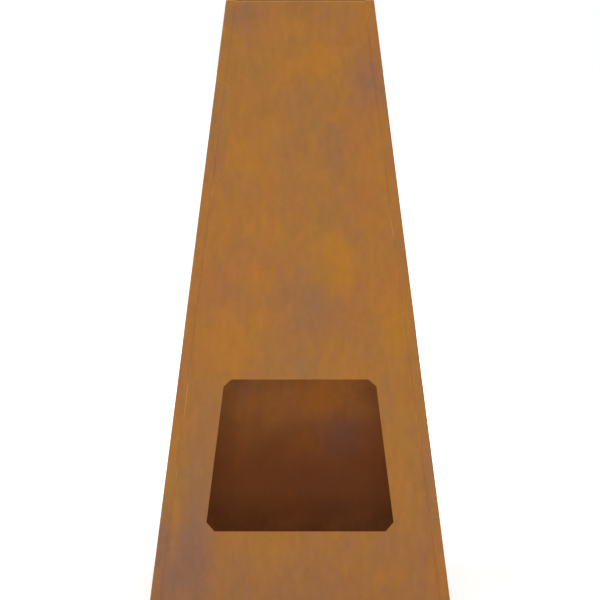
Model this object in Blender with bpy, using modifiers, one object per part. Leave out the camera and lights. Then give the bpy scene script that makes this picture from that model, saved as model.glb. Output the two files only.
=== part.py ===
"""Tapered fire pit of weathering steel, one metre tall on a square base.

Four folded sheet panels make the casing. The side panels turn the corners, and their narrow returns meet
the front and back panels in a fine seam, where inner flanges are bolted together. Two angle rails, clamped
by the lowest bolts, carry a hearth plate low inside. A loose bar grate stands on the plate and is lifted
out through the mouth.

Metres, +Z up, the mouth towards -Y, and the origin at the middle of the footprint on the ground.
"""

import math

import bmesh
import bpy
from mathutils import Matrix, Vector

# Casing
height = 1.0
base_width = 0.5
rim_width = 0.247
slope = (base_width - rim_width) / 2 / height
lean = math.atan(slope)

# Sheet and folds
sheet = 0.002
bend_radius = 0.0025
bend_segments = 4
return_width = 0.0165
flange_depth = 0.025
rim_step = 0.002
seat_gap = 0.0003
overrun = 0.01

# Mouth in the front panel
sill_height = 0.122
lintel_height = 0.372
mouth_margin = 0.0775
sill_chamfer = 0.015
lintel_chamfer = 0.0115

# Hearth rails
rail_thickness = 0.003
rail_bend_radius = 0.004
rail_foot_height = 0.006
rail_leg = 0.026
rail_ledge = 0.026
rail_end_gap = 0.001
rail_top = rail_foot_height + rail_leg

# Seam bolts and nuts
bolt_diameter = 0.006
bolt_projection = 0.0021
rail_bolt_projection = 0.0028
head_width = 0.010
head_height = 0.004
head_chamfer = 0.0006
nut_height = 0.005
hole_clearance = 0.0003
bolt_inset = (flange_depth + sheet) / 2
first_bolt_height = (rail_foot_height + rail_top - rail_thickness) / 2
last_bolt_drop = 0.040
bolts_per_seam = 4
fastener_segments = 16

# Hearth plate
hearth_thickness = 0.003
hearth_clearance = 0.0015
hearth_chamfer = 0.012
air_hole_diameter = 0.014
air_hole_rows = 4
air_hole_pitch_share = 0.2
round_segments = 24

# Grate
grate_width = 0.230
rod_length = 0.230
rod_diameter = 0.010
rod_chamfer = 0.0012
rod_count = 8
bar_width = 0.020
bar_thickness = 0.006
bar_edge = 0.0008
bar_inset = 0.030
foot_diameter = 0.014
foot_height = 0.012
foot_inset = 0.016

# Heights of the stack on the rails
hearth_bottom = rail_top + seat_gap
hearth_top = hearth_bottom + hearth_thickness
foot_bottom = hearth_top + seat_gap
bar_bottom = foot_bottom + foot_height + seat_gap
rod_bottom = bar_bottom + bar_thickness + seat_gap

# Faces beside a seam, measured square to the flanges from the joint between them
flange_face = seat_gap / 2 + sheet
rail_face = flange_face + seat_gap
rail_inner_face = rail_face + rail_thickness
head_face = flange_face + seat_gap
rail_head_face = rail_inner_face + seat_gap
nut_face = flange_face + seat_gap
bolt_length = head_face + nut_face + nut_height + bolt_projection
rail_bolt_length = rail_head_face + nut_face + nut_height + rail_bolt_projection

MERGE = 0.00001
LEFT, RIGHT = -1, 1
FRONT, BACK = -1, 1
SIDES = {"left": LEFT, "right": RIGHT}
ENDS = {"front": FRONT, "back": BACK}


def half_width(z):
    """Half of the casing's square plan at height z, to the outside of the sheet."""
    return base_width / 2 - slope * z


def seam_half_width(z):
    """Distance from the middle to the joint between two flanges at height z."""
    return half_width(z) - return_width


def level(distance):
    """The level distance that spans a distance square to a leaning sheet."""
    return distance / math.cos(lean)


def new_collection(name):
    collection = bpy.data.collections.new(name)
    bpy.context.scene.collection.children.link(collection)
    return collection


def material(name, colour, roughness, metallic):
    """A plain Principled material."""
    made = bpy.data.materials.new(name)
    made.use_nodes = True
    shader = made.node_tree.nodes["Principled BSDF"]
    shader.inputs["Base Color"].default_value = (*colour, 1.0)
    shader.inputs["Roughness"].default_value = roughness
    shader.inputs["Metallic"].default_value = metallic
    made.diffuse_color = (*colour, 1.0)
    return made


def add_object(name, data, collection, finish=None):
    made = bpy.data.objects.new(name, data)
    collection.objects.link(made)
    if finish:
        made.data.materials.append(finish)
    return made


def add_cutter(name, data):
    """A hidden tool body for a Boolean."""
    cutter = add_object(name, data, cutters)
    cutter.hide_render = True
    cutter.display_type = "WIRE"
    return cutter


def mesh_from(build, name):
    """A mesh that the function build fills through bmesh."""
    shape = bmesh.new()
    build(shape)
    bmesh.ops.recalc_face_normals(shape, faces=shape.faces)
    mesh = bpy.data.meshes.new(name)
    shape.to_mesh(mesh)
    shape.free()
    return mesh


def box_mesh(name, low, high):
    size = Vector(high) - Vector(low)
    middle = (Vector(high) + Vector(low)) / 2

    def build(shape):
        placed = Matrix.Translation(middle) @ Matrix.Diagonal((*size, 1.0))
        bmesh.ops.create_cube(shape, size=1.0, matrix=placed)

    return mesh_from(build, name)


def prism_mesh(name, radius, length, segments):
    """A closed prism or cylinder that stands on its local XY plane."""

    def build(shape):
        bmesh.ops.create_cone(
            shape,
            cap_ends=True,
            segments=segments,
            radius1=radius,
            radius2=radius,
            depth=length,
            matrix=Matrix.Translation((0, 0, length / 2)),
        )

    return mesh_from(build, name)


def boolean(target, cutter, operation):
    modifier = target.modifiers.new(f"{operation.lower()} {cutter.name}", "BOOLEAN")
    modifier.operation = operation
    modifier.solver = "EXACT"
    modifier.object = cutter


def bevel(target, width, segments):
    modifier = target.modifiers.new("edges", "BEVEL")
    modifier.width = width
    modifier.segments = segments
    modifier.limit_method = "ANGLE"
    modifier.angle_limit = math.radians(30)


def smooth(mesh):
    """Smooth shading that keeps the true corners sharp."""
    mesh.shade_smooth()
    mesh.set_sharp_from_angle(angle=math.radians(35))


def evaluated_mesh(target, name):
    """The target's mesh with its modifiers applied; the target itself is removed."""
    graph = bpy.context.evaluated_depsgraph_get()
    mesh = bpy.data.meshes.new_from_object(target.evaluated_get(graph))
    mesh.name = name
    bpy.data.objects.remove(target)
    return mesh


def welded_outline_mesh(name, loops, thickness):
    """A flat plate from closed outlines in the local XY plane: its outside first, then its holes."""
    curve = bpy.data.curves.new(name, "CURVE")
    curve.dimensions = "2D"
    curve.fill_mode = "BOTH"
    curve.extrude = thickness / 2
    for points in loops:
        spline = curve.splines.new("POLY")
        spline.points.add(len(points) - 1)
        for point, (x, y) in zip(spline.points, points):
            point.co = (x, y, 0, 1)
        spline.use_cyclic_u = True
    mesh = evaluated_mesh(add_object(name, curve, cutters), name)
    shape = bmesh.new()
    shape.from_mesh(mesh)
    bmesh.ops.remove_doubles(shape, verts=shape.verts, dist=MERGE)
    bmesh.ops.recalc_face_normals(shape, faces=shape.faces)
    shape.to_mesh(mesh)
    shape.free()
    return mesh


def chamfered(corners, sizes):
    """The outline with each corner replaced by two points, each its chamfer's size away along an edge."""
    outline = []
    for index, (corner, size) in enumerate(zip(corners, sizes)):
        here = Vector(corner)
        for neighbour in (corners[index - 1], corners[(index + 1) % len(corners)]):
            outline.append(here + (Vector(neighbour) - here).normalized() * size)
    return [tuple(point) for point in outline]


def circle(centre, diameter, segments):
    steps = [2 * math.pi * step / segments for step in range(segments)]
    return [(centre[0] + diameter / 2 * math.cos(a), centre[1] + diameter / 2 * math.sin(a)) for a in steps]


def folded_sheet(name, start, end, thickness, radius, finish):
    """Sheet metal folded along lines from each point of start to the same point of end.

    The points run so that the outside of the sheet faces away from the fold. The thickness goes inwards.
    """
    shape = bmesh.new()
    first = [shape.verts.new(point) for point in start]
    last = [shape.verts.new(point) for point in end]
    for index in range(len(first) - 1):
        shape.faces.new((first[index], first[index + 1], last[index + 1], last[index]))
    mesh = bpy.data.meshes.new(name)
    shape.to_mesh(mesh)
    shape.free()
    panel = add_object(name, mesh, parts, finish)
    bevel(panel, radius, bend_segments)
    solidify = panel.modifiers.new("sheet", "SOLIDIFY")
    solidify.thickness = thickness
    solidify.offset = -1
    solidify.use_even_offset = True
    return panel


def front_outline(z, end):
    """Plan of a front or back panel at height z: flange, face and flange."""
    x = seam_half_width(z) - seat_gap / 2
    face = half_width(z)
    tip = face - flange_depth
    points = [(-x, end * tip, z), (-x, end * face, z), (x, end * face, z), (x, end * tip, z)]
    return points if end == FRONT else points[::-1]


def side_outline(z, side):
    """Plan of a side panel at height z: flange, return, face, return and flange."""
    inner = side * (seam_half_width(z) + seat_gap / 2)
    outer = side * half_width(z)
    face = half_width(z)
    tip = face - flange_depth
    points = [(inner, tip), (inner, face), (outer, face), (outer, -face), (inner, -face), (inner, -tip)]
    points = [(x, y, z) for x, y in points]
    return points if side == LEFT else points[::-1]


def casing_panel(name, outline, top):
    """A folded panel between the ground and a height, cut level at both."""
    low = outline(-overrun)
    high = outline(top + overrun)
    panel = folded_sheet(name, low, high, sheet, bend_radius, rusted_steel)
    reach = base_width
    trim = add_cutter(f"{name}_trim", box_mesh(f"{name}_trim", (-reach, -reach, 0), (reach, reach, top)))
    boolean(panel, trim, "INTERSECT")
    return panel


def bolt_heights():
    """Height of each bolt along a seam, on the joint between the flanges."""
    last = height - last_bolt_drop
    step = (last - first_bolt_height) / (bolts_per_seam - 1)
    return [first_bolt_height + step * index for index in range(bolts_per_seam)]


def seam_frame(side, end, z):
    """Placement with its origin on the joint, in a bolt hole, and local +Z square to the flanges, outwards."""
    place = Vector((side * seam_half_width(z), end * (half_width(z) - bolt_inset), z))
    axis = Vector((side, 0, slope)).normalized()
    return Matrix.Translation(place) @ axis.to_track_quat("Z", "Y").to_matrix().to_4x4()


def seam_places():
    """Name, placement and index of every bolt."""
    for end_name, end in ENDS.items():
        for side_name, side in SIDES.items():
            for index, z in enumerate(bolt_heights()):
                yield f"{end_name}_{side_name}_{index + 1}", seam_frame(side, end, z), index


def make_hole_cutter():
    """All bolt holes as one cutter, reaching through both flanges and a rail's leg."""
    start = -rail_inner_face - sheet
    length = nut_face + sheet - start

    def build(shape):
        for _, place, _ in seam_places():
            bmesh.ops.create_cone(
                shape,
                cap_ends=True,
                segments=fastener_segments,
                radius1=bolt_diameter / 2 + hole_clearance,
                radius2=bolt_diameter / 2 + hole_clearance,
                depth=length,
                matrix=place @ Matrix.Translation((0, 0, start + length / 2)),
            )

    return add_cutter("bolt_holes", mesh_from(build, "bolt_holes"))


def make_mouth_cutter():
    """The mouth: sides parallel to the casing's edges, and clipped corners."""
    low = half_width(sill_height) - mouth_margin
    high = half_width(lintel_height) - mouth_margin
    corners = [(-low, sill_height), (low, sill_height), (high, lintel_height), (-high, lintel_height)]
    outline = chamfered(corners, (sill_chamfer, sill_chamfer, lintel_chamfer, lintel_chamfer))
    depth = base_width / 2
    cutter = add_cutter("mouth", welded_outline_mesh("mouth", [outline], depth))
    cutter.matrix_world = Matrix.Translation((0, -depth, 0)) @ Matrix.Rotation(math.radians(90), 4, "X")
    return cutter


def make_casing():
    holes = make_hole_cutter()
    for name, end in ENDS.items():
        panel = casing_panel(f"{name}_panel", lambda z, end=end: front_outline(z, end), height - rim_step)
        boolean(panel, holes, "DIFFERENCE")
        if end == FRONT:
            boolean(panel, make_mouth_cutter(), "DIFFERENCE")
        smooth(panel.data)
    for name, side in SIDES.items():
        panel = casing_panel(f"{name}_panel", lambda z, side=side: side_outline(z, side), height)
        boolean(panel, holes, "DIFFERENCE")
        smooth(panel.data)
    for name, side in SIDES.items():
        make_rail(name, side, holes)


def make_rail(name, side, holes):
    """An angle rail against the inner flanges of one side, its ledge turned in under the hearth plate."""

    def upright(z):
        return seam_half_width(z) - level(rail_face)

    def profile(end):
        points = [(upright(rail_foot_height), rail_foot_height), (upright(rail_top), rail_top)]
        points.append((upright(rail_top) - rail_ledge, rail_top))
        return [(side * x, end * (half_width(z) - level(sheet) - rail_end_gap), z) for x, z in points]

    ends = (profile(FRONT), profile(BACK)) if side == LEFT else (profile(BACK), profile(FRONT))
    rail = folded_sheet(f"{name}_hearth_rail", *ends, rail_thickness, rail_bend_radius, rail_steel)
    boolean(rail, holes, "DIFFERENCE")
    smooth(rail.data)


def hexagon_radius(across_flats):
    return across_flats / 2 / math.cos(math.pi / 6)


def bolt_mesh(name, length):
    """Hexagon head below the local XY plane and a plain shank above it."""
    head = prism_mesh(f"{name}_head", hexagon_radius(head_width), head_height, 6)
    head.transform(Matrix.Translation((0, 0, -head_height)))
    bolt = add_object(f"{name}_blank", head, cutters)
    bevel(bolt, head_chamfer, 1)
    rooted = length + head_height / 2
    shank_mesh = prism_mesh(f"{name}_shank", bolt_diameter / 2, rooted, fastener_segments)
    shank_mesh.transform(Matrix.Translation((0, 0, -head_height / 2)))
    shank = add_cutter(f"{name}_shank", shank_mesh)
    boolean(bolt, shank, "UNION")
    mesh = evaluated_mesh(bolt, name)
    bpy.data.objects.remove(shank)
    return mesh


def nut_mesh(name):
    """Hexagon nut above the local XY plane, bored to clear the bolt."""
    nut = add_object(f"{name}_blank", prism_mesh(name, hexagon_radius(head_width), nut_height, 6), cutters)
    bevel(nut, head_chamfer, 1)
    bore_radius = bolt_diameter / 2 + hole_clearance
    bore_mesh = prism_mesh(f"{name}_bore", bore_radius, nut_height + 2 * overrun, fastener_segments)
    bore_mesh.transform(Matrix.Translation((0, 0, -overrun)))
    bore = add_cutter(f"{name}_bore", bore_mesh)
    boolean(nut, bore, "DIFFERENCE")
    mesh = evaluated_mesh(nut, name)
    bpy.data.objects.remove(bore)
    return mesh


def make_fasteners():
    """A bolt from inside and a nut outside at each hole. The lowest bolts are longer and clamp a rail too."""
    short = bolt_mesh("seam_bolt", bolt_length)
    long = bolt_mesh("rail_bolt", rail_bolt_length)
    nut = nut_mesh("seam_nut")
    for mesh in (short, long, nut):
        mesh.materials.clear()
        mesh.materials.append(stainless)
        smooth(mesh)
    for place_name, place, index in seam_places():
        lowest = index == 0
        face = rail_head_face if lowest else head_face
        bolt = add_object(f"bolt_{place_name}", long if lowest else short, parts)
        bolt.matrix_world = place @ Matrix.Translation((0, 0, -face))
        seated = add_object(f"nut_{place_name}", nut, parts)
        seated.matrix_world = place @ Matrix.Translation((0, 0, nut_face))


def make_hearth_plate():
    """Plate with clipped corners and rows of air holes, resting on both ledges."""
    x = seam_half_width(hearth_top) - level(flange_face) - hearth_clearance
    y = half_width(hearth_top) - level(sheet) - hearth_clearance
    loops = [chamfered([(-x, -y), (x, -y), (x, y), (-x, y)], [hearth_chamfer] * 4)]
    steps = [(index - (air_hole_rows - 1) / 2) * air_hole_pitch_share for index in range(air_hole_rows)]
    for across in steps:
        for along in steps:
            loops.append(circle((across * 2 * x, along * 2 * y), air_hole_diameter, round_segments))
    mesh = welded_outline_mesh("hearth_plate", loops, hearth_thickness)
    plate = add_object("hearth_plate", mesh, parts, dark_steel)
    plate.location.z = hearth_bottom + hearth_thickness / 2
    smooth(plate.data)


def make_grate():
    """Round rods on two cross bars with four stub feet, all carried by one empty and lifted with it."""
    lift = bpy.data.objects.new("grate_lift", None)
    parts.objects.link(lift)
    lift.location.z = foot_bottom

    rod_mesh = prism_mesh("grate_rod", rod_diameter / 2, rod_length, round_segments)
    lying = Matrix.Rotation(math.radians(90), 4, "X")
    rod_mesh.transform(lying @ Matrix.Translation((0, 0, -rod_length / 2)))
    rod_mesh.materials.append(dark_steel)
    smooth(rod_mesh)
    first = (rod_diameter - grate_width) / 2
    pitch = (grate_width - rod_diameter) / (rod_count - 1)
    for index in range(rod_count):
        rod = add_object(f"grate_rod_{index + 1}", rod_mesh, parts)
        rod.parent = lift
        rod.location = (first + index * pitch, 0, rod_bottom + rod_diameter / 2 - foot_bottom)
        bevel(rod, rod_chamfer, 1)

    for end_name, end in ENDS.items():
        y = end * (rod_length / 2 - bar_inset)
        low = (-grate_width / 2, y - bar_width / 2, bar_bottom - foot_bottom)
        high = (grate_width / 2, y + bar_width / 2, bar_bottom - foot_bottom + bar_thickness)
        bar_mesh = box_mesh("grate_cross_bar", low, high)
        bar = add_object(f"grate_cross_bar_{end_name}", bar_mesh, parts, dark_steel)
        bar.parent = lift
        bevel(bar, bar_edge, 2)
        for side_name, side in SIDES.items():
            foot_mesh = prism_mesh("grate_foot", foot_diameter / 2, foot_height, round_segments)
            foot = add_object(f"grate_foot_{end_name}_{side_name}", foot_mesh, parts, dark_steel)
            foot.parent = lift
            foot.location = (side * (grate_width / 2 - foot_inset), y, 0)
            bevel(foot, bar_edge, 1)
            smooth(foot.data)


for old in list(bpy.data.objects):
    bpy.data.objects.remove(old)

parts = new_collection("conical_fire_pit")
cutters = new_collection("cutters")
rusted_steel = material("weathering_steel", (0.35, 0.155, 0.045), 0.85, 0.1)
rail_steel = material("rail_steel", (0.16, 0.08, 0.04), 0.8, 0.3)
dark_steel = material("dark_steel", (0.05, 0.045, 0.042), 0.7, 0.6)
stainless = material("stainless_steel", (0.5, 0.49, 0.47), 0.4, 1.0)

make_casing()
make_fasteners()
make_hearth_plate()
make_grate()
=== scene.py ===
"""Looks of the tapered square fire pit: its sheets, fasteners, grate, finishes, floor and light.

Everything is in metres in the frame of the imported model: +Z up, the mouth towards -Y, the ground at zero.
"""

import math

import bmesh
import bpy
from mathutils import Matrix, Vector


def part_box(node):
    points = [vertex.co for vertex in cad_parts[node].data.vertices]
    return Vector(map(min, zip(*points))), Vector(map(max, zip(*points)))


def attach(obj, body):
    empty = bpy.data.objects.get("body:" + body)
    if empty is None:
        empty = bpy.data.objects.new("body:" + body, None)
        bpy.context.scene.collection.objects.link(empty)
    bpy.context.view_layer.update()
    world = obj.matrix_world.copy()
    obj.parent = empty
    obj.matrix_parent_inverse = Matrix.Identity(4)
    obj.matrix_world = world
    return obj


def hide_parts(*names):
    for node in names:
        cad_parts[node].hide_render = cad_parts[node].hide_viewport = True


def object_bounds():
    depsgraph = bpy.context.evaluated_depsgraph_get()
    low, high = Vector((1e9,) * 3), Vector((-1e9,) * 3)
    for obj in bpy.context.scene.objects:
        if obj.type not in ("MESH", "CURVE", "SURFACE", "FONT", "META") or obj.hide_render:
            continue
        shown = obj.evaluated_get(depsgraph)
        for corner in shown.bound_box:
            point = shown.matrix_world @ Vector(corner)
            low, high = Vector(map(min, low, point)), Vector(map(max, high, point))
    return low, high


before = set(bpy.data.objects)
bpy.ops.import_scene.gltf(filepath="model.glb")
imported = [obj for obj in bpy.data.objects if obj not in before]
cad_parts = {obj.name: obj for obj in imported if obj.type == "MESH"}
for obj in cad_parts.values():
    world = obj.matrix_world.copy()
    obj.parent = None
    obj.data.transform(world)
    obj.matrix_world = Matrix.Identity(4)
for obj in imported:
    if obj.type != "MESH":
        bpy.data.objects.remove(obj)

cad_low, cad_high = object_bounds()

# Casing, from the frame. Points within the tolerance of its full height are on the rim
height = cad_high.z
base_half = cad_high.x
panel_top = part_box("front_panel")[1].z
rim_tolerance = 0.0001
at_rim = [v.co.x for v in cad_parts["right_panel"].data.vertices if v.co.z > height - rim_tolerance]
rim_half = max(at_rim)
slope = (base_half - rim_half) / height
lean = math.atan(slope)

# Sheet, folds and seams. The folds beside the seams and the gap drawn there are finer than the CAD's
sheet = 0.002
fold_radius = 0.0025
seam_radius = 0.00015
tightest_radius = 0.00015
fold_steps = 8
deburr = 0.00025
seam_gap = 0.0003
drawn_gap = 0.00003
return_width = rim_half + seam_gap / 2 - min(at_rim)
flange_depth = 0.025

# Mouth, and how far in front of the casing its cutter starts
sill_height = 0.122
lintel_height = 0.372
mouth_margin = 0.0775
sill_chamfer = 0.015
lintel_chamfer = 0.0115
mouth_cut_start = 0.05

# Rails
rail_thickness = 0.003
rail_fold_radius = 0.004
rail_ledge = 0.026
rail_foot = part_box("left_hearth_rail")[0].z
rail_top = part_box("left_hearth_rail")[1].z
rail_end_gap = 0.001

# Distances from a seam's joint, square to its flanges, to what lies on a flange and on a rail
flange_seat = seam_gap / 2 + sheet + seam_gap
rail_seat = flange_seat + rail_thickness + seam_gap

# Bolts and nuts. Heads and nuts are equally wide across their flats
thread_diameter = 0.006
thread_pitch = 0.001
thread_depth = 0.00054
rows_per_pitch = 8
crest_share = 0.1
flank_share = 0.75
fastener_sides = 48
washer_radius = 0.00485
washer_height = 0.0003
chamfer_angle = math.radians(30)
countersink = 0.0004
bore_clearance = 0.0002
across_flats = 0.010
head_height = 0.004
nut_height = 0.005
short_bolt = 0.012
long_bolt = 0.016
bolt_rows = 4
top_bolt_drop = 0.040

# Bolt holes, and how far from their walls an edge still counts as theirs
hole_radius = 0.0033
hole_sides = 32
hole_cut_length = 0.02
hole_margin = 0.0002

# Hearth plate
hearth_low, hearth_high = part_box("hearth_plate")
hearth_chamfer = 0.012
air_hole_radius = 0.007
air_hole_sides = 48
air_hole_rows = 4
air_hole_pitch_share = 0.2

# Grate. Two facets round each end of a bar and meet at these shares of its edge, inwards and along the bar
rod_count = 8
bar_sides = 40
rod_edge_share = 0.24
rod_facets = (0.4, 0.25)
foot_edge = 0.0008
foot_facets = (0.3, 0.3)
flat_bar_edge = 0.0009
flat_bar_edge_steps = 4

# Welds. Beads lie beside and above the foot of a round bar by shares of its radius
weld_width = 0.0042
weld_ripple = 0.0016
weld_flatness = 0.8
weld_sides = 8
bead_beside = 0.72
bead_above = 0.18
bead_setback = 0.002
bead_swell = 0.13
bead_steps_per_ripple = 4
bead_least_steps = 8
bead_taper_power = 8
bead_tip_share = 0.04
ring_width_share = 0.8
ring_swell = 0.12
ring_steps = 96
ring_drop_share = 0.35

# Edges that turn by more than these angles are shaded sharp, and chamfered on cut sheets
shading_angle = math.radians(50)
cut_angle = math.radians(40)

# Studio. The lens and the sensor are in millimetres, and the floor's own glow grows with distance
room_light = 0.30
floor_radius = 30
floor_sides = 96
floor_colour = (0.82, 0.82, 0.82)
glow_near, glow_far = 0.5, 3.0
near_glow, far_glow = 0.57, 1.0
camera_lens = 246.7
camera_sensor = 36
camera_place = (0, -7.0, 1.08)
camera_target = (0, 0, 0.4875)

# Lamps: name, place, target, width, height and level where it is aimed, as a share of white
LAMPS = [
    ("key", (-2.4, -3.4, 3.2), (0, 0, 0.7), 2.0, 2.0, 0.12),
    ("front", (0, -4.5, 0.70), (0, 0, 0.45), 1.0, 1.3, 0.435),
    ("left", (-4.2, 0.4, 1.4), (0, 0, 0.5), 2.0, 2.0, 0.44),
    ("right", (4.2, 0.8, 1.6), (0, 0, 0.5), 2.0, 2.0, 0.28),
    ("back", (0.8, 4.2, 1.8), (0, 0, 0.5), 2.0, 2.0, 0.34),
]

LEFT, RIGHT = -1, 1
FRONT, BACK = -1, 1
SIDES = {"left": LEFT, "right": RIGHT}
ENDS = {"front": FRONT, "back": BACK}


def half_width(z):
    """Half of the casing's square plan at height z."""
    return base_half - slope * z


def seam_half_width(z):
    """Distance from the middle to the joint between two flanges at height z."""
    return half_width(z) - return_width


def mouth_half_width(z):
    """Half of the mouth's width at height z, its sides being parallel to the casing's edges."""
    return half_width(z) - mouth_margin


def level(distance):
    """The level distance that spans a distance square to a leaning sheet."""
    return distance / math.cos(lean)


def linear(red, green, blue):
    """A colour given as it looks on a screen, 0 to 255, turned into linear light."""
    parts = [part / 255 for part in (red, green, blue)]
    return tuple(part / 12.92 if part < 0.04045 else ((part + 0.055) / 1.055) ** 2.4 for part in parts)


# Material nodes


class Tree:
    """Builds a material or a world with short calls.

    A value is a number, a place, a colour or a node's output.
    """

    def __init__(self, owner):
        self.owner = owner
        owner.use_nodes = True
        self.nodes = owner.node_tree.nodes
        self.links = owner.node_tree.links
        self.nodes.clear()
        self.place = self.node("ShaderNodeTexCoord").outputs["Object"]

    def node(self, kind, inputs=(), **settings):
        """A new node with its settings made and its inputs fed."""
        made = self.nodes.new(kind)
        for name, value in settings.items():
            setattr(made, name, value)
        for socket, value in dict(inputs).items():
            self.feed(made.inputs[socket], value)
        return made

    def feed(self, socket, value):
        """Links a node's output to a socket, or sets the socket to a plain value."""
        if isinstance(value, bpy.types.NodeSocket):
            self.links.new(value, socket)
        elif socket.type == "RGBA":
            socket.default_value = (*value, 1.0)
        else:
            socket.default_value = value

    def math(self, operation, first, second=0.0):
        return self.node("ShaderNodeMath", {0: first, 1: second}, operation=operation).outputs[0]

    def plus(self, base, *parts):
        """The base plus each part's value times its share."""
        for value, share in parts:
            base = self.math("ADD", base, self.math("MULTIPLY", value, share))
        return base

    def vector(self, operation, first, second=(0.0, 0.0, 0.0)):
        made = self.node("ShaderNodeVectorMath", {0: first, 1: second}, operation=operation)
        return made.outputs["Value" if operation == "LENGTH" else "Vector"]

    def split(self, place, axis):
        """One coordinate of a place."""
        return self.node("ShaderNodeSeparateXYZ", {0: place}).outputs[axis]

    def clamped(self, value):
        return self.node("ShaderNodeClamp", {"Value": value}).outputs[0]

    def noise(self, place, scale, detail=2.0, roughness=0.5, output="Fac"):
        inputs = {"Vector": place, "Scale": scale, "Detail": detail, "Roughness": roughness}
        return self.node("ShaderNodeTexNoise", inputs).outputs[output]

    def step(self, value, low, high, first=0.0, last=1.0):
        """A soft step from first to last as the value goes from low to high."""
        inputs = {"Value": value, "From Min": low, "From Max": high, "To Min": first, "To Max": last}
        return self.node("ShaderNodeMapRange", inputs, interpolation_type="SMOOTHSTEP").outputs["Result"]

    def mix(self, share, first, second, blend="MIX"):
        """The first colour with a share of the second, by the node's colour sockets: 6 and 7 in, 2 out."""
        inputs = {0: share, 6: first, 7: second}
        return self.node("ShaderNodeMix", inputs, data_type="RGBA", blend_type=blend).outputs[2]

    def tint(self, colour, by):
        """The colour times another."""
        return self.mix(1.0, colour, by, "MULTIPLY")

    def shade(self, colour, share):
        """The colour times a grey share."""
        grey = self.node("ShaderNodeCombineXYZ", {"X": share, "Y": share, "Z": share}).outputs[0]
        return self.tint(colour, grey)

    def stretched(self, place, share):
        """The place with its height times a share; below 1, what is drawn there runs up and down."""
        return self.vector("MULTIPLY", place, (1.0, 1.0, share))

    def warp(self, place, scale, amount, detail=3.0):
        """The place pushed about by noise, so that what is drawn there has ragged outlines."""
        push = self.vector("SUBTRACT", self.noise(place, scale, detail, output="Color"), (0.5, 0.5, 0.5))
        return self.vector("ADD", place, self.vector("MULTIPLY", push, (amount, amount, amount)))

    def bump(self, relief, distance):
        inputs = {"Height": relief, "Distance": distance, "Strength": 1.0}
        return self.node("ShaderNodeBump", inputs).outputs[0]

    def finish(self, colour, roughness, normal, metallic=0.0, specular=0.5):
        shader = self.node(
            "ShaderNodeBsdfPrincipled",
            {
                "Base Color": colour,
                "Roughness": roughness,
                "Normal": normal,
                "Metallic": metallic,
                "Specular IOR Level": specular,
            },
        )
        self.node("ShaderNodeOutputMaterial", {"Surface": shader.outputs[0]})
        return self.owner


# Patina colours, how far the hue leans to either side of them, the tint where a seam bleeds, and the colour
# of worn flecks, which also paints a highlight along the sheets' top edges
VIOLET = linear(143, 102, 77)
BROWN = linear(164, 110, 56)
OCHRE = linear(178, 117, 40)
LEAN_RED = (1.055, 0.972, 0.985)
LEAN_GREEN = (0.945, 1.028, 1.015)
BLED = (0.98, 0.91, 0.87)
WORN_AND_HIGHLIGHT = linear(216, 164, 108)
UNTINTED = (1.0, 1.0, 1.0)

# Patches on the front: middle across and up, half sizes across and up, and tone, -1 for violet and 1 for
# ochre. They fade out at this many times their half sizes, and reach this far into the casing, so that they
# wrap round its edges but don't come through to the back
PATCH_FADE = 2.0
PATCH_DEPTH = 0.16
FRONT_PATCHES = [
    ((0.000, 0.000), (0.300, 0.070), -0.35),
    ((-0.170, 0.150), (0.024, 0.085), -1.00),
    ((-0.200, 0.055), (0.045, 0.050), -0.90),
    ((-0.226, 0.130), (0.012, 0.050), -0.75),
    ((-0.150, 0.300), (0.024, 0.050), -0.20),
    ((-0.197, 0.385), (0.010, 0.050), -0.40),
    ((0.225, 0.100), (0.024, 0.050), -0.35),
    ((0.150, 0.100), (0.040, 0.025), -0.20),
    ((0.215, 0.215), (0.010, 0.050), -0.40),
    ((0.020, 0.985), (0.120, 0.022), -0.20),
    ((-0.098, 0.980), (0.028, 0.024), -0.50),
    ((0.118, 0.872), (0.026, 0.038), -0.70),
    ((0.064, 0.752), (0.014, 0.040), -0.50),
    ((0.055, 0.955), (0.035, 0.020), -0.25),
    ((0.078, 0.100), (0.010, 0.014), -0.50),
    ((-0.140, 0.800), (0.016, 0.060), -0.30),
    ((0.024, 0.490), (0.045, 0.040), -0.25),
    ((-0.135, 0.505), (0.020, 0.030), -0.20),
    ((-0.003, 0.392), (0.024, 0.014), -0.30),
    ((-0.010, 0.960), (0.016, 0.018), 0.40),
    ((0.035, 0.898), (0.030, 0.022), 0.55),
    ((-0.089, 0.745), (0.028, 0.024), 0.65),
    ((-0.030, 0.800), (0.026, 0.018), 0.30),
    ((0.060, 0.560), (0.028, 0.038), 0.85),
    ((0.036, 0.595), (0.024, 0.020), 0.35),
    ((-0.072, 0.540), (0.022, 0.020), 0.40),
    ((-0.120, 0.435), (0.034, 0.040), 0.65),
    ((-0.064, 0.468), (0.020, 0.024), 0.30),
    ((0.163, 0.445), (0.022, 0.050), 0.95),
    ((0.155, 0.265), (0.018, 0.030), 0.40),
    ((0.175, 0.345), (0.016, 0.045), 0.40),
    ((-0.015, 0.880), (0.022, 0.030), 0.35),
]
# Patches on the back wall, seen through the mouth, and the share of the outside's tone that is left inside
BACK_PATCHES = [
    ((0.042, 0.302), (0.034, 0.028), 0.60),
    ((0.012, 0.216), (0.016, 0.020), 0.33),
    ((0.078, 0.228), (0.034, 0.034), -0.85),
    ((-0.100, 0.322), (0.020, 0.018), -0.44),
]
INSIDE_TONE = 0.55

# Behind the front, broad clouds fade in between these depths
FRONT_DEPTH, SIDE_DEPTH = 0.005, 0.12

# Rust bleeds to both sides of a seam, and worn flecks run beside it, just in from the front panel's edge
BLEED_CORE, BLEED_END = 0.0005, 0.0035
FLECK_PLACE, FLECK_CORE, FLECK_END = 0.0013, 0.0003, 0.0012
FLECK_SHARE = 0.3

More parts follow.
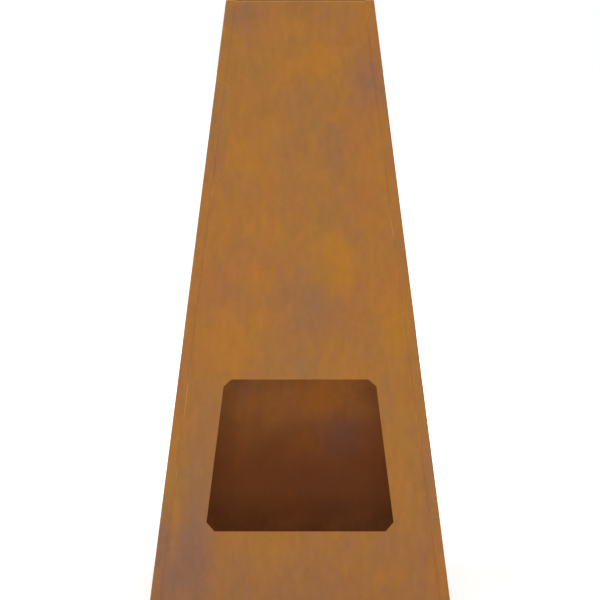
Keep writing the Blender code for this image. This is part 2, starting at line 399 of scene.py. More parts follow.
# Values of the streaks that break up both: none to all of the bleeding, and none to all of the flecks
BLEED_STREAKS = (0.42, 0.60)
FLECK_STREAKS = (0.47, 0.36)

# The inside's tint by height, partly soot and partly painted light and shade: paler at the foot with ash
# and painted light against the hearth's shade, dark above that with soot and painted shade, paler over the
# fire with scorched rust and painted light, and then clean
FOOT_HEIGHT, DARKEST_LOW, DARKEST_HIGH, LIFTED_HEIGHT = 0.03, 0.10, 0.14, 0.42
CLEAN_LOW, CLEAN_HEIGHT = 0.37, 0.60
ASH_AND_PAINTED_LIGHT = (1.04, 0.76, 0.90)
SOOT_AND_PAINTED_SHADE = (0.69, 0.50, 0.57)
SCORCH_AND_PAINTED_LIGHT = (1.65, 1.43, 1.38)

# Painted light: the inside is paler towards its corners, and from a little below the lintel up, where the
# casing's shade falls
CORNER_START, CORNER_END, CORNER_PAINTED_LIGHT = 0.11, 0.17, 1.33
UPPER_START, UPPER_END, LINTEL_PAINTED_LIGHT = 0.29, 0.36, 1.17

# Heights from a sheet's top edge: a band of painted light on the inside, where the rim's shade falls, and
# the painted highlight on the edge itself
PAINTED_BAND_LOW, PAINTED_BAND_HIGH = -0.012, -0.003
HIGHLIGHT_LOW, HIGHLIGHT_HIGH = -0.0009, -0.0002
# How much lighter the band of painted light is than the patina
RIM_PAINTED_LIGHT = (2.15, 2.05, 1.95)

# How light the patina is, and what its run marks, grain, mottle and specks add to that
PLAIN_LIGHT = 0.69
RUN_MARK_LIGHT, GRAIN_LIGHT, MOTTLE_LIGHT, SPECK_LIGHT = 0.14, 0.08, 0.40, -0.16

# Colours of the fasteners and the welds
STAINLESS, STAINED = (0.5, 0.49, 0.47), (0.26, 0.17, 0.10)
OXIDE, BROWNED = (0.045, 0.04, 0.045), (0.11, 0.065, 0.04)


def patch_tone(tree, place, placed, face):
    """The tone that soft ellipses on one face of the casing add up to."""
    total = 0.0
    for (across, up), (wide, tall), tone in placed:
        middle = (across, face * half_width(up), up)
        away = tree.vector("SUBTRACT", place, middle)
        away = tree.vector("MULTIPLY", away, (1 / wide, 1 / PATCH_DEPTH, 1 / tall))
        total = tree.math("ADD", total, tree.step(tree.vector("LENGTH", away), 0.0, PATCH_FADE, tone, 0.0))
    return total


def cloud(tree, place, seed, scale, strength):
    """Ragged clouds at all scales from the given one down, about zero."""
    moved = tree.vector("ADD", place, (seed, 0.7 * seed, 1.3 * seed))
    drift = tree.math("SUBTRACT", tree.noise(moved, scale, detail=6, roughness=0.7), 0.5)
    return tree.math("MULTIPLY", drift, strength)


def off_middle(tree):
    """Distance to the left or to the right of the casing's middle."""
    return tree.math("ABSOLUTE", tree.split(tree.place, "X"))


def square_reach(tree):
    """Half of the width of the upright square pillar, about the middle, that a point lies on."""
    return tree.math("MAXIMUM", off_middle(tree), tree.math("ABSOLUTE", tree.split(tree.place, "Y")))


def inside_share(tree):
    """1 on the sheets' inner faces and inwards of them, 0 on their outer faces."""
    reach = tree.plus(square_reach(tree), (tree.split(tree.place, "Z"), slope))
    return tree.math("LESS_THAN", reach, base_half - level(sheet) / 2)


def above_edge(tree):
    """Height above the top edge of the sheet there, so negative on the sheets."""
    between_seams = tree.math("LESS_THAN", off_middle(tree), seam_half_width(height))
    above_rim = tree.math("SUBTRACT", tree.split(tree.place, "Z"), height)
    return tree.plus(above_rim, (between_seams, height - panel_top))


def beyond_front(tree):
    """0 on the front face, rising to 1 on the sides and the back."""
    depth = tree.math("ADD", tree.split(tree.place, "Y"), base_half)
    depth = tree.plus(depth, (tree.split(tree.place, "Z"), -slope))
    return tree.step(depth, FRONT_DEPTH, SIDE_DEPTH)


def patina_tone(tree, warped, drawn, inside):
    """Tone of the rust: clouds, patches on the front and inside the back, and broad clouds elsewhere."""
    tone = tree.math(
        "ADD",
        cloud(tree, drawn, seed=2.0, scale=9, strength=2.1),
        cloud(tree, drawn, seed=3.0, scale=70, strength=1.0),
    )
    tone = tree.math("ADD", tone, patch_tone(tree, warped, FRONT_PATCHES, FRONT))
    broad = cloud(tree, drawn, seed=6.0, scale=4, strength=3.4)
    outside_tone = tree.plus(tone, (broad, beyond_front(tree)))
    inside_tone = tree.plus(patch_tone(tree, warped, BACK_PATCHES, BACK), (tone, INSIDE_TONE))
    return tree.step(inside, 0.0, 1.0, outside_tone, inside_tone)


def along_seams(tree, colour):
    """The colour with rust bled out of the seams, and worn flecks beside them on the front panel."""
    beside = tree.plus(off_middle(tree), (tree.split(tree.place, "Z"), slope))
    beyond = tree.math("SUBTRACT", beside, seam_half_width(0))
    streaks = tree.noise(tree.stretched(tree.place, 0.3), scale=40, detail=4, roughness=0.6)
    near = tree.step(tree.math("ABSOLUTE", beyond), BLEED_CORE, BLEED_END, 1.0, 0.0)
    bled = tree.math("MULTIPLY", near, tree.step(streaks, *BLEED_STREAKS))
    colour = tree.mix(bled, colour, tree.tint(colour, BLED))
    off_edge = tree.math("ABSOLUTE", tree.math("ADD", beyond, FLECK_PLACE))
    edge = tree.step(off_edge, FLECK_CORE, FLECK_END, 1.0, 0.0)
    worn = tree.math("MULTIPLY", edge, tree.step(streaks, *FLECK_STREAKS, 0.0, FLECK_SHARE))
    return tree.mix(worn, colour, WORN_AND_HIGHLIGHT)


def inside_tint_and_painted_light(tree, above):
    """Tint of the inner faces by height: ash, soot, scorched rust and clean patina, mixed with painted
    light and shade, painted light in the corners and under the lintel, and a band of painted light below
    the rim.
    """
    ragged = cloud(tree, tree.place, seed=8.0, scale=12, strength=0.12)
    up = tree.math("ADD", tree.split(tree.place, "Z"), ragged)
    # Pale ash and painted light at the foot, soot and painted shade above, scorched rust and painted light
    # higher
    tint = tree.mix(tree.step(up, FOOT_HEIGHT, DARKEST_LOW), ASH_AND_PAINTED_LIGHT, SOOT_AND_PAINTED_SHADE)
    tint = tree.mix(tree.step(up, DARKEST_HIGH, LIFTED_HEIGHT), tint, SCORCH_AND_PAINTED_LIGHT)
    # Painted light against the shade in the inside's corners and under the lintel
    aside = tree.step(off_middle(tree), CORNER_START, CORNER_END, 1.0, CORNER_PAINTED_LIGHT)
    upper = tree.step(up, UPPER_START, UPPER_END, 1.0, LINTEL_PAINTED_LIGHT)
    tint = tree.shade(tint, tree.math("MULTIPLY", aside, upper))
    tint = tree.mix(tree.step(up, CLEAN_LOW, CLEAN_HEIGHT), tint, UNTINTED)
    # Painted light on a band just below the rim, which the casing shades
    return tree.mix(tree.step(above, PAINTED_BAND_LOW, PAINTED_BAND_HIGH), tint, RIM_PAINTED_LIGHT)


def weathering_steel():
    """Rust patina: ragged clouds from violet-grey over brown to ochre, faint run marks and sandy grain."""
    tree = Tree(bpy.data.materials.new("weathering_steel"))
    warped = tree.warp(tree.place, scale=14, amount=0.024)
    warped = tree.warp(warped, scale=70, amount=0.014, detail=4.0)
    drawn = tree.stretched(warped, 0.5)
    inside = inside_share(tree)
    tone = patina_tone(tree, warped, drawn, inside)
    colour = tree.mix(tree.clamped(tone), BROWN, OCHRE)
    colour = tree.mix(tree.clamped(tree.math("MULTIPLY", tone, -1.0)), colour, VIOLET)
    hue = tree.math("ADD", cloud(tree, drawn, seed=5.0, scale=12, strength=2.6), 0.5)
    colour = tree.tint(colour, tree.mix(tree.clamped(hue), LEAN_GREEN, LEAN_RED))
    colour = along_seams(tree, colour)
    above = above_edge(tree)
    # Inner faces take the inside's tint, with its painted light and shade
    colour = tree.mix(inside, colour, tree.tint(colour, inside_tint_and_painted_light(tree, above)))
    # Painted highlight: a thin light line along the sheets' top edges
    colour = tree.mix(tree.step(above, HIGHLIGHT_LOW, HIGHLIGHT_HIGH), colour, WORN_AND_HIGHLIGHT)

    run_marks = tree.noise(tree.stretched(tree.place, 0.07), scale=130, detail=4, roughness=0.6)
    grain = tree.noise(tree.place, scale=800, detail=4, roughness=0.6)
    mottle = tree.noise(drawn, scale=60, detail=6, roughness=0.65)
    specks = tree.step(tree.noise(tree.place, scale=170), 0.70, 0.78)
    layers = (
        (run_marks, RUN_MARK_LIGHT),
        (grain, GRAIN_LIGHT),
        (mottle, MOTTLE_LIGHT),
        (specks, SPECK_LIGHT),
    )
    colour = tree.shade(colour, tree.plus(PLAIN_LIGHT, *layers))
    roughness = tree.step(mottle, 0.3, 0.7, first=0.76, last=0.90)
    relief = tree.plus(grain, (mottle, 1.5))
    return tree.finish(colour, roughness, tree.bump(relief, distance=0.00012), specular=0.12)


def mill_steel(name, dark, rust, rusted):
    """Hot-rolled steel: dark scale, blotched and freckled with rust."""
    tree = Tree(bpy.data.materials.new(name))
    warped = tree.warp(tree.place, scale=40, amount=0.012)
    blotches = tree.noise(warped, scale=30, detail=5, roughness=0.6)
    freckles = tree.noise(tree.place, scale=420, detail=3, roughness=0.6)
    share = tree.step(tree.plus(blotches, (freckles, 0.35)), 0.80 - rusted, 1.02 - rusted)
    colour = tree.mix(share, dark, rust)
    colour = tree.shade(colour, tree.step(freckles, 0.25, 0.75, first=0.8, last=1.2))
    roughness = tree.step(share, 0.0, 1.0, first=0.52, last=0.86)
    relief = tree.plus(freckles, (share, 0.8))
    return tree.finish(colour, roughness, tree.bump(relief, distance=0.0001), metallic=0.25, specular=0.35)


def fastener_steel():
    """Turned stainless steel, dulled, with a faint brown stain."""
    tree = Tree(bpy.data.materials.new("fastener_steel"))
    turned = tree.noise(tree.stretched(tree.place, 9.0), scale=900, detail=3)
    stain = tree.step(tree.noise(tree.place, scale=260, detail=4), 0.52, 0.75, first=0.0, last=0.55)
    colour = tree.mix(stain, STAINLESS, STAINED)
    roughness = tree.step(turned, 0.3, 0.7, first=0.32, last=0.46)
    return tree.finish(colour, roughness, tree.bump(turned, distance=0.00003), metallic=1.0)


def weld_steel():
    """Weld bead: dark oxide, browned by heat in places."""
    tree = Tree(bpy.data.materials.new("weld_steel"))
    heat = tree.noise(tree.place, scale=180, detail=3)
    ripple = tree.noise(tree.place, scale=900, detail=3)
    colour = tree.mix(tree.step(heat, 0.4, 0.65), OXIDE, BROWNED)
    roughness = tree.step(ripple, 0.3, 0.7, first=0.4, last=0.6)
    return tree.finish(colour, roughness, tree.bump(ripple, distance=0.00005), metallic=0.4)


# Mesh tools


def piece(name, mesh, body, slot, material, *replaced):
    """A shown piece, shaded smooth but for its sharp edges, that rides on a body in place of CAD nodes."""
    made = bpy.data.objects.new(name, mesh)
    bpy.context.scene.collection.objects.link(made)
    mesh.materials.clear()
    mesh.materials.append(material)
    mesh.shade_smooth()
    mesh.set_sharp_from_angle(angle=shading_angle)
    weighted = made.modifiers.new("even shading", "WEIGHTED_NORMAL")
    weighted.keep_sharp = True
    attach(made, body)
    if replaced:
        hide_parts(*replaced)


def mesh_from(name, shape):
    """The finished mesh of a shape, its faces turned outwards."""
    bmesh.ops.recalc_face_normals(shape, faces=shape.faces)
    mesh = bpy.data.meshes.new(name)
    shape.to_mesh(mesh)
    shape.free()
    return mesh


def bridge(shape, low, high):
    """Quads between two closed rings of vertices."""
    for index in range(len(low)):
        after = (index + 1) % len(low)
        shape.faces.new((low[index], low[after], high[after], high[index]))


def loft(shape, rings):
    """A closed solid through rings of vertices."""
    for low, high in zip(rings, rings[1:]):
        bridge(shape, low, high)
    shape.faces.new(rings[0])
    shape.faces.new(rings[-1])


def prism(shape, radius, length, sides, place):
    """A closed prism or cylinder that stands on the XY plane of its place."""
    middle = place @ Matrix.Translation((0, 0, length / 2))
    bmesh.ops.create_cone(
        shape, cap_ends=True, segments=sides, radius1=radius, radius2=radius, depth=length, matrix=middle
    )


def left_of(run):
    """A direction in plan, turned a quarter to the left."""
    return Vector((-run.y, run.x))


def folded_line(corners, radii, depth, trim):
    """Points along a line that folds left at each corner, at a depth to its left, both ends cut short."""
    runs = [(after - before).normalized() for before, after in zip(corners, corners[1:])]
    points = [corners[0] + runs[0] * trim + left_of(runs[0]) * depth]
    for corner, before, after, radius in zip(corners[1:-1], runs, runs[1:], radii):
        turn = before.angle(after)
        bend = max(radius - depth, tightest_radius)
        mitre = corner + (left_of(before) + left_of(after)) * depth / (1 + math.cos(turn))
        middle = mitre - before * bend * math.tan(turn / 2) + left_of(before) * bend
        for step in range(fold_steps + 1):
            points.append(middle - Matrix.Rotation(turn * step / fold_steps, 2) @ left_of(before) * bend)
    points.append(corners[-1] - runs[-1] * trim + left_of(runs[-1]) * depth)
    return points


def sheet_section(corners, radii, thickness, inset):
    """Outer line, inner line and tips of a folded sheet with chamfered ends, drawn in by the inset."""
    # A 45 degree chamfer that is drawn in by the inset starts this far from the sheet's faces and ends
    shallow = deburr + math.tan(math.pi / 8) * inset
    deep = thickness - shallow
    outer = folded_line(corners, radii, inset, shallow)
    inner = folded_line(corners, radii, thickness - inset, shallow)
    first = (corners[1] - corners[0]).normalized()
    last = (corners[-1] - corners[-2]).normalized()
    tips = [corners[-1] - last * inset + left_of(last) * depth for depth in (shallow, deep)]
    tips += [corners[0] + first * inset + left_of(first) * depth for depth in (deep, shallow)]
    return outer, inner, tips


def sheet_mesh(name, rows):
    """A folded sheet from rows of (outer, inner, tips) points in space, closed at both ends with quads."""
    shape = bmesh.new()
    made = []
    for outer, inner, tips in rows:
        made.append([[shape.verts.new(point) for point in line] for line in (outer, inner, tips)])
    loops = [[*outer, *tips[:2], *reversed(inner), *tips[2:]] for outer, inner, tips in made]
    for low, high in zip(loops, loops[1:]):
        bridge(shape, low, high)
    for outer, inner, tips in (made[0], made[-1]):
        for index in range(len(outer) - 1):
            shape.faces.new((outer[index], outer[index + 1], inner[index + 1], inner[index]))
        shape.faces.new((outer[-1], tips[0], tips[1], inner[-1]))
        shape.faces.new((outer[0], inner[0], tips[2], tips[3]))
    return mesh_from(name, shape)


def cut_mesh(mesh, cutters, near=None):
    """The mesh with the cutters taken out and sharp edges chamfered: all, or those with near(middle)."""
    target = bpy.data.objects.new("blank", mesh)
    bpy.context.scene.collection.objects.link(target)
    tools = []
    for cutter in cutters:
        tool = bpy.data.objects.new("cutter", cutter)
        bpy.context.scene.collection.objects.link(tool)
        modifier = target.modifiers.new("cut", "BOOLEAN")
        modifier.operation = "DIFFERENCE"
        modifier.solver = "EXACT"
        modifier.object = tool
        tools.append(tool)
    made = bpy.data.meshes.new_from_object(target.evaluated_get(bpy.context.evaluated_depsgraph_get()))
    for spent in (target, *tools):
        bpy.data.objects.remove(spent)
    shape = bmesh.new()
    shape.from_mesh(made)
    sharp = []
    for edge in shape.edges:
        middle = (edge.verts[0].co + edge.verts[1].co) / 2
        if edge.calc_face_angle(0.0) > cut_angle and (near is None or near(middle)):
            sharp.append(edge)
    bmesh.ops.bevel(shape, geom=sharp, offset=deburr, segments=1, affect="EDGES", clamp_overlap=True)
    shape.to_mesh(made)
    shape.free()
    return made


# Casing


def seam_places():
    """Name, placement and row of each bolt: origin on the joint, +Z square to the flanges and outwards."""
    first = (rail_foot + rail_top - rail_thickness) / 2
    last = height - top_bolt_drop
    inset = (flange_depth + sheet) / 2
    for end_name, end in ENDS.items():
        for side_name, side in SIDES.items():
            for row in range(bolt_rows):
                z = first + (last - first) * row / (bolt_rows - 1)
                spot = Vector((side * seam_half_width(z), end * (half_width(z) - inset), z))
                turn = Vector((side, 0, slope)).normalized().to_track_quat("Z", "Y").to_matrix().to_4x4()
                yield f"{end_name}_{side_name}_{row + 1}", Matrix.Translation(spot) @ turn, row


def hole_cutter():
    """Cylinders through both flanges of each seam, and at the foot through the rails as well."""
    shape = bmesh.new()
    for _, place, _ in seam_places():
        start = place @ Matrix.Translation((0, 0, -hole_cut_length / 2))
        prism(shape, hole_radius, hole_cut_length, hole_sides, start)
    return mesh_from("holes", shape)


def mouth_cutter():
    """The mouth with its clipped corners, as a solid through the front panel."""
    low, high = mouth_half_width(sill_height), mouth_half_width(lintel_height)
    corners = [
        Vector((-low, sill_height)),
        Vector((low, sill_height)),
        Vector((high, lintel_height)),
        Vector((-high, lintel_height)),
    ]
    sizes = (sill_chamfer, sill_chamfer, lintel_chamfer, lintel_chamfer)
    outline = []
    for index, (corner, size) in enumerate(zip(corners, sizes)):
        for other in (corners[index - 1], corners[(index + 1) % len(corners)]):
            outline.append(corner + (other - corner).normalized() * size)
    shape = bmesh.new()
    depths = (-base_half - mouth_cut_start, -base_half / 2)
    loft(shape, [[shape.verts.new((x, y, z)) for x, z in outline] for y in depths])
    return mesh_from("mouth", shape)


def near_bolt(point):
    """Whether a point lies at the edge of a bolt hole."""
    for _, place, _ in seam_places():
        local = place.inverted() @ point
        if math.hypot(local.x, local.y) < hole_radius + hole_margin and abs(local.z) < hole_cut_length / 2:
            return True
    return False


def near_bolt_or_mouth(point):
    """Whether a point lies at the edge of a bolt hole or of the mouth."""
    beside = abs(point.x) < mouth_half_width(sill_height) + sheet
    in_mouth = beside and sill_height - sheet < point.z < lintel_height + sheet and point.y < 0
    return in_mouth or near_bolt(point)


def casing_rows(plan, facing, radii, top):
    """Rows of a leaning sheet from the ground to its top edge, both edges chamfered."""
    rows = []
    for z, inset in ((0.0, deburr), (deburr, 0.0), (top - deburr, 0.0), (top, deburr)):
        section = sheet_section(plan(z, facing), radii, level(sheet), inset)
        rows.append([[(point.x, point.y, z) for point in line] for line in section])
    return rows


def end_plan(z, end):
    """Plan of a front or back sheet at height z: flange, face, flange, every fold to the left."""
    x = seam_half_width(z) - drawn_gap / 2
    face = half_width(z)
    tip = face - flange_depth
    return [Vector((end * cross, end * y)) for cross, y in ((x, tip), (x, face), (-x, face), (-x, tip))]


def side_plan(z, side):
    """Plan of a side sheet at height z: flange, return, face, return, flange, every fold to the left."""
    inner = seam_half_width(z) + drawn_gap / 2
    face = half_width(z)
    tip = face - flange_depth
    points = ((inner, -tip), (inner, -face), (face, -face), (face, face), (inner, face), (inner, tip))
    return [Vector((side * x, side * y)) for x, y in points]


def make_casing(material):
    """Four folded sheets with bolt holes through their flanges, the front one with the mouth."""
    holes = hole_cutter()
    for name, end in ENDS.items():
        rows = casing_rows(end_plan, end, (seam_radius, seam_radius), panel_top)
        mesh = sheet_mesh(f"{name}_sheet", rows)
        if end == FRONT:
            mesh = cut_mesh(mesh, [holes, mouth_cutter()], near_bolt_or_mouth)
        else:
            mesh = cut_mesh(mesh, [holes], near_bolt)
        piece(f"{name}_sheet", mesh, "casing", "weathering_steel", material, f"{name}_panel")
    for name, side in SIDES.items():
        rows = casing_rows(side_plan, side, (seam_radius, fold_radius, fold_radius, seam_radius), height)
        mesh = cut_mesh(sheet_mesh(f"{name}_sheet", rows), [holes], near_bolt)
        piece(f"{name}_sheet", mesh, "casing", "weathering_steel", material, f"{name}_panel")


def make_rails(material):
    """Angle rails against the inner flanges, their ledges turned inwards under the hearth plate."""
    foot = seam_half_width(rail_foot) - level(flange_seat)
    top = seam_half_width(rail_top) - level(flange_seat)
    corners = [Vector((foot, rail_foot)), Vector((top, rail_top)), Vector((top - rail_ledge, rail_top))]
    reach = rail_end_gap + level(sheet)
    ends = ((FRONT, 0.0, deburr), (FRONT, deburr, 0.0), (BACK, deburr, 0.0), (BACK, 0.0, deburr))
    for name, side in SIDES.items():
        rows = []
        for end, drawn, inset in ends:
            section = sheet_section(corners, [rail_fold_radius], rail_thickness, inset)
            row = []
            for line in section:
                row.append([(side * p.x, end * (half_width(p.y) - reach - drawn), p.y) for p in line])
            rows.append(row)
        mesh = cut_mesh(sheet_mesh(f"{name}_rail", rows), [hole_cutter()], near_bolt)
        piece(f"{name}_rail", mesh, "casing", "rail_steel", material, f"{name}_hearth_rail")


# Fasteners


def ring_of(shape, radius, z):
    """A level ring of vertices; the radius and the height are numbers or functions of the angle."""
    ring = []
    for step in range(fastener_sides):
        angle = 2 * math.pi * step / fastener_sides
        out = radius(angle) if callable(radius) else radius
        up = z(angle) if callable(z) else z
        ring.append(shape.verts.new((out * math.cos(angle), out * math.sin(angle), up)))
    return ring


def hexagon(angle):
    """Distance from a hexagon's middle to its side at an angle."""
    return across_flats / 2 / math.cos(angle % (math.pi / 3) - math.pi / 6)


def turned_down(angle):
    """How far the turned chamfer reaches along a hexagon's side at an angle."""
    return (hexagon(angle) - washer_radius) * math.tan(chamfer_angle)


def thread_radius(angle, z, length):
    """Radius of a right-hand thread at an angle and height, run out at the tip."""
    phase = (z / thread_pitch - angle / (2 * math.pi)) % 1.0
    flank = (abs(2 * phase - 1) - crest_share) / flank_share
    radius = thread_diameter / 2 - thread_depth * min(1.0, max(0.0, flank))
    return min(radius, thread_diameter / 2 - thread_depth + length - z)


def bolt_mesh(name, length):
    """Hexagon head with a washer face below the local XY plane, and a threaded shank above it."""
    shape = bmesh.new()
    rings = [
        ring_of(shape, washer_radius, -head_height),
        ring_of(shape, hexagon, lambda angle: turned_down(angle) - head_height),
        ring_of(shape, hexagon, -washer_height),
        ring_of(shape, washer_radius, -washer_height),
        ring_of(shape, washer_radius, 0.0),
        ring_of(shape, thread_diameter / 2, 0.0),
    ]
    steps = round(length / thread_pitch * rows_per_pitch)
    for row in range(1, steps + 1):
        z = length * row / steps
        rings.append(ring_of(shape, lambda angle, z=z: thread_radius(angle, z, length), z))
    loft(shape, rings)
    return mesh_from(name, shape)


def nut_mesh(name):
    """Hexagon nut above the local XY plane, chamfered and countersunk at both ends."""
    shape = bmesh.new()
    bore = thread_diameter / 2 + bore_clearance
    rings = [
        ring_of(shape, washer_radius, 0.0),
        ring_of(shape, hexagon, turned_down),
        ring_of(shape, hexagon, lambda angle: nut_height - turned_down(angle)),
        ring_of(shape, washer_radius, nut_height),
        ring_of(shape, bore + countersink, nut_height),
        ring_of(shape, bore, nut_height - countersink),
        ring_of(shape, bore, countersink),
        ring_of(shape, bore + countersink, 0.0),
    ]
    for low, high in zip(rings, [*rings[1:], rings[0]]):
        bridge(shape, low, high)
    return mesh_from(name, shape)


def make_fasteners(material):
    """A bolt from inside and a nut outside at each hole; the lowest bolts are longer and clamp a rail."""
    for place_name, place, row in seam_places():
        length, seat = (long_bolt, rail_seat) if row == 0 else (short_bolt, flange_seat)
        bolt = bolt_mesh(f"hex_bolt_{place_name}", length)
        bolt.transform(place @ Matrix.Translation((0, 0, -seat)))
        piece(f"hex_bolt_{place_name}", bolt, "casing", "fastener_steel", material, f"bolt_{place_name}")
        nut = nut_mesh(f"hex_nut_{place_name}")
        nut.transform(place @ Matrix.Translation((0, 0, flange_seat)))
        piece(f"hex_nut_{place_name}", nut, "casing", "fastener_steel", material, f"nut_{place_name}")


# Hearth plate and grate


def make_hearth(material):
    """Plate with clipped corners, its edges and air holes deburred."""
    half_x, half_y = hearth_high.x, hearth_high.y
    thickness = hearth_high.z - hearth_low.z
    outline = []
    for x_sign, y_sign in ((-1, -1), (1, -1), (1, 1), (-1, 1)):
        on_side = (x_sign * half_x, y_sign * (half_y - hearth_chamfer))
        on_end = (x_sign * (half_x - hearth_chamfer), y_sign * half_y)
        outline += [on_side, on_end] if x_sign == y_sign else [on_end, on_side]
    shape = bmesh.new()
    loft(shape, [[shape.verts.new((x, y, z)) for x, y in outline] for z in (hearth_low.z, hearth_high.z)])
    mesh = mesh_from("hearth", shape)
    holes = bmesh.new()
    steps = [(index - (air_hole_rows - 1) / 2) * air_hole_pitch_share for index in range(air_hole_rows)]
    for across in steps:
        for along in steps:
            spot = Matrix.Translation((across * 2 * half_x, along * 2 * half_y, hearth_low.z - thickness))
            prism(holes, air_hole_radius, 3 * thickness, air_hole_sides, spot)
    mesh = cut_mesh(mesh, [mesh_from("air_holes", holes)])
    piece("hearth", mesh, "casing", "hearth_steel", material, "hearth_plate")


def round_bar_mesh(name, radius, length, edge, facets, place):
    """A round bar along the local Z of its place, its ends rounded by two facets each."""
    inwards, along = facets
    profile = [(radius - edge, 0), (radius - edge * inwards, edge * along), (radius, edge)]
    profile += [(r, length - z) for r, z in reversed(profile)]
    angles = [2 * math.pi * step / bar_sides for step in range(bar_sides)]
    shape = bmesh.new()
    rings = []
    for r, z in profile:
        points = [place @ Vector((r * math.cos(a), r * math.sin(a), z)) for a in angles]
        rings.append([shape.verts.new(point) for point in points])
    loft(shape, rings)
    return mesh_from(name, shape)


def flat_bar_mesh(name, low, high):
    """A box with rounded edges."""
    place = Matrix.Translation((low + high) / 2) @ Matrix.Diagonal((*(high - low), 1.0))
    shape = bmesh.new()
    bmesh.ops.create_cube(shape, size=1.0, matrix=place)
    bmesh.ops.bevel(
        shape,
        geom=shape.edges[:],
        offset=flat_bar_edge,
        segments=flat_bar_edge_steps,
        profile=0.5,
        affect="EDGES",
    )
    return mesh_from(name, shape)


def make_grate(material, weld):
    """Round bars on two flat bars with four stub feet, and the weld beads that join them."""
    for index in range(rod_count):
        node = f"grate_rod_{index + 1}"
        low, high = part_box(node)
        radius = (high.x - low.x) / 2
        middle = (low + high) / 2
        place = Matrix.Translation((middle.x, low.y, middle.z)) @ Matrix.Rotation(math.radians(-90), 4, "X")
        mesh = round_bar_mesh(node, radius, high.y - low.y, radius * rod_edge_share, rod_facets, place)
        piece(f"round_bar_{index + 1}", mesh, "grate", "grate_steel", material, node)
    for end_name in ENDS:
        node = f"grate_cross_bar_{end_name}"
        mesh = flat_bar_mesh(node, *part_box(node))
        piece(f"flat_bar_{end_name}", mesh, "grate", "grate_steel", material, node)
        for side_name in SIDES:
            node = f"grate_foot_{end_name}_{side_name}"
            low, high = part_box(node)
            radius = (high.x - low.x) / 2
            place = Matrix.Translation(((low.x + high.x) / 2, (low.y + high.y) / 2, low.z))
            mesh = round_bar_mesh(node, radius, high.z - low.z, foot_edge, foot_facets, place)
            piece(f"stub_foot_{end_name}_{side_name}", mesh, "grate", "grate_steel", material, node)
    make_welds(weld)


def weld_section(shape, centre, across, up, size):
    """A flattened ring of vertices about a bead's centre."""
    ring = []
    for turn in range(weld_sides):
        angle = 2 * math.pi * turn / weld_sides
        sideways = across * size * math.cos(angle)
        ring.append(shape.verts.new(centre + sideways + up * size * weld_flatness * math.sin(angle)))
    return ring


def weld_bead(shape, start, end):
    """A straight bead on a level face, which swells at each ripple and tapers at its ends."""
    run = end - start
    count = max(bead_least_steps, round(run.length / weld_ripple) * bead_steps_per_ripple)
    rings = []
    for step in range(count + 1):
        share = step / count
        taper = math.sqrt(max(bead_tip_share, 1 - (2 * share - 1) ** bead_taper_power))
        swell = 1 + bead_swell * math.cos(2 * math.pi * share * run.length / weld_ripple)
        size = weld_width / 2 * taper * swell
        rings.append(weld_section(shape, start + run * share, Vector((1, 0, 0)), Vector((0, 0, 1)), size))
    loft(shape, rings)


def weld_ring(shape, middle, radius, z):
    """A rippled bead round the top of a foot, against the flat bar above it."""
    ripples = round(2 * math.pi * radius / weld_ripple)
    rings = []
    for step in range(ring_steps):
        angle = 2 * math.pi * step / ring_steps
        size = weld_width / 2 * ring_width_share * (1 + ring_swell * math.cos(ripples * angle))
        out = Vector((math.cos(angle), math.sin(angle), 0))
        centre = Vector((middle.x, middle.y, z - size * ring_drop_share)) + out * radius
        rings.append(weld_section(shape, centre, out, Vector((0, 0, 1)), size))
    for low, high in zip(rings, [*rings[1:], rings[0]]):
        bridge(shape, low, high)


def make_welds(material):
    """Beads along both sides of each round bar on the flat bars, and round the top of each foot."""
    shape = bmesh.new()
    for end_name in ENDS:
        bar_low, bar_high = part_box(f"grate_cross_bar_{end_name}")
        for index in range(rod_count):
            low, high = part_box(f"grate_rod_{index + 1}")
            radius = (high.x - low.x) / 2
            for side in SIDES.values():
                x = (low.x + high.x) / 2 + side * radius * bead_beside
                if not bar_low.x + weld_width / 2 < x < bar_high.x - weld_width / 2:
                    continue
                start = Vector((x, bar_low.y + bead_setback, bar_high.z + radius * bead_above))
                end = Vector((x, bar_high.y - bead_setback, start.z))
                weld_bead(shape, start, end)
        for side_name in SIDES:
            low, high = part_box(f"grate_foot_{end_name}_{side_name}")
            weld_ring(shape, (low + high) / 2, (high.x - low.x) / 2, high.z)
    piece("grate_welds", mesh_from("grate_welds", shape), "grate", "grate_steel", material)


# Studio


def looked_at(tree):
    """1 where the camera, a reflection or glass looks, 0 for the light that falls on things."""
    path = tree.node("ShaderNodeLightPath")
    mirrored = tree.math("MAXIMUM", path.outputs["Is Glossy Ray"], path.outputs["Is Transmission Ray"])
    return tree.math("MAXIMUM", path.outputs["Is Camera Ray"], mirrored)


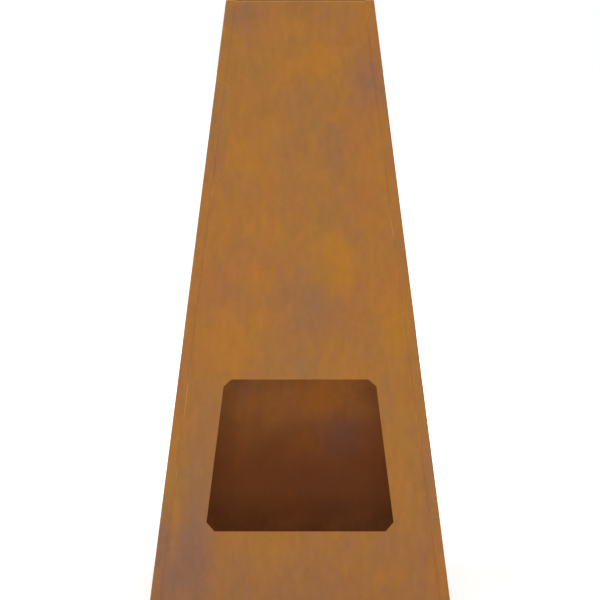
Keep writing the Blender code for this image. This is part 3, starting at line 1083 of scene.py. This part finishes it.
def make_floor():
    """A pale floor that looks white, though not inside the casing, and keeps the object's soft shadow."""
    shape = bmesh.new()
    bmesh.ops.create_circle(shape, cap_ends=True, segments=floor_sides, radius=floor_radius)
    mesh = mesh_from("floor", shape)
    floor = bpy.data.objects.new("floor", mesh)
    bpy.context.scene.collection.objects.link(floor)
    tree = Tree(bpy.data.materials.new("floor"))
    lit = tree.node("ShaderNodeBsdfDiffuse", {"Color": floor_colour}).outputs[0]
    glow = tree.step(tree.vector("LENGTH", tree.place), glow_near, glow_far, near_glow, far_glow)
    open_floor = tree.math("GREATER_THAN", square_reach(tree), base_half)
    strength = tree.math("MULTIPLY", tree.math("MULTIPLY", looked_at(tree), glow), open_floor)
    shown = tree.node("ShaderNodeEmission", {"Strength": strength}).outputs[0]
    both = tree.node("ShaderNodeAddShader", {0: lit, 1: shown}).outputs[0]
    tree.node("ShaderNodeOutputMaterial", {"Surface": both})
    mesh.materials.append(tree.owner)


def make_world():
    """A white room: white where the camera, a reflection or glass sees it, and a softer grey as light."""
    world = bpy.data.worlds.new("studio")
    bpy.context.scene.world = world
    tree = Tree(world)
    strength = tree.step(looked_at(tree), 0.0, 1.0, room_light, 1.0)
    white = tree.node("ShaderNodeBackground", {"Color": (1.0, 1.0, 1.0), "Strength": strength}).outputs[0]
    tree.node("ShaderNodeOutputWorld", {"Surface": white})


def make_lamp(name, place, target, wide, tall, share):
    """A soft rectangular lamp that lights what it is aimed at to a share of white."""
    data = bpy.data.lights.new(name, "AREA")
    data.shape = "RECTANGLE"
    data.size = wide
    data.size_y = tall
    away = Vector(target) - Vector(place)
    data.energy = share * math.pi**2 * away.length_squared
    lamp = bpy.data.objects.new(name, data)
    bpy.context.scene.collection.objects.link(lamp)
    lamp.location = place
    lamp.rotation_euler = away.to_track_quat("-Z", "Y").to_euler()


def make_camera():
    """A long lens on the middle of the front, a little above the rim and looking slightly down."""
    data = bpy.data.cameras.new("camera")
    data.lens = camera_lens
    data.sensor_width = camera_sensor
    camera = bpy.data.objects.new("camera", data)
    bpy.context.scene.collection.objects.link(camera)
    camera.location = camera_place
    camera.rotation_euler = (Vector(camera_target) - camera.location).to_track_quat("-Z", "Y").to_euler()
    bpy.context.scene.camera = camera


make_camera()
make_world()
make_floor()
for lamp in LAMPS:
    make_lamp(*lamp)

make_casing(weathering_steel())
make_rails(mill_steel("rail_steel", dark=(0.12, 0.09, 0.07), rust=(0.27, 0.12, 0.045), rusted=0.26))
make_fasteners(fastener_steel())
make_hearth(mill_steel("hearth_steel", dark=(0.115, 0.098, 0.085), rust=(0.24, 0.115, 0.05), rusted=0.16))
grate_steel = mill_steel("grate_steel", dark=(0.10, 0.092, 0.085), rust=(0.23, 0.115, 0.055), rusted=0.12)
make_grate(grate_steel, weld_steel())

bpy.context.scene.view_settings.view_transform = "Standard"
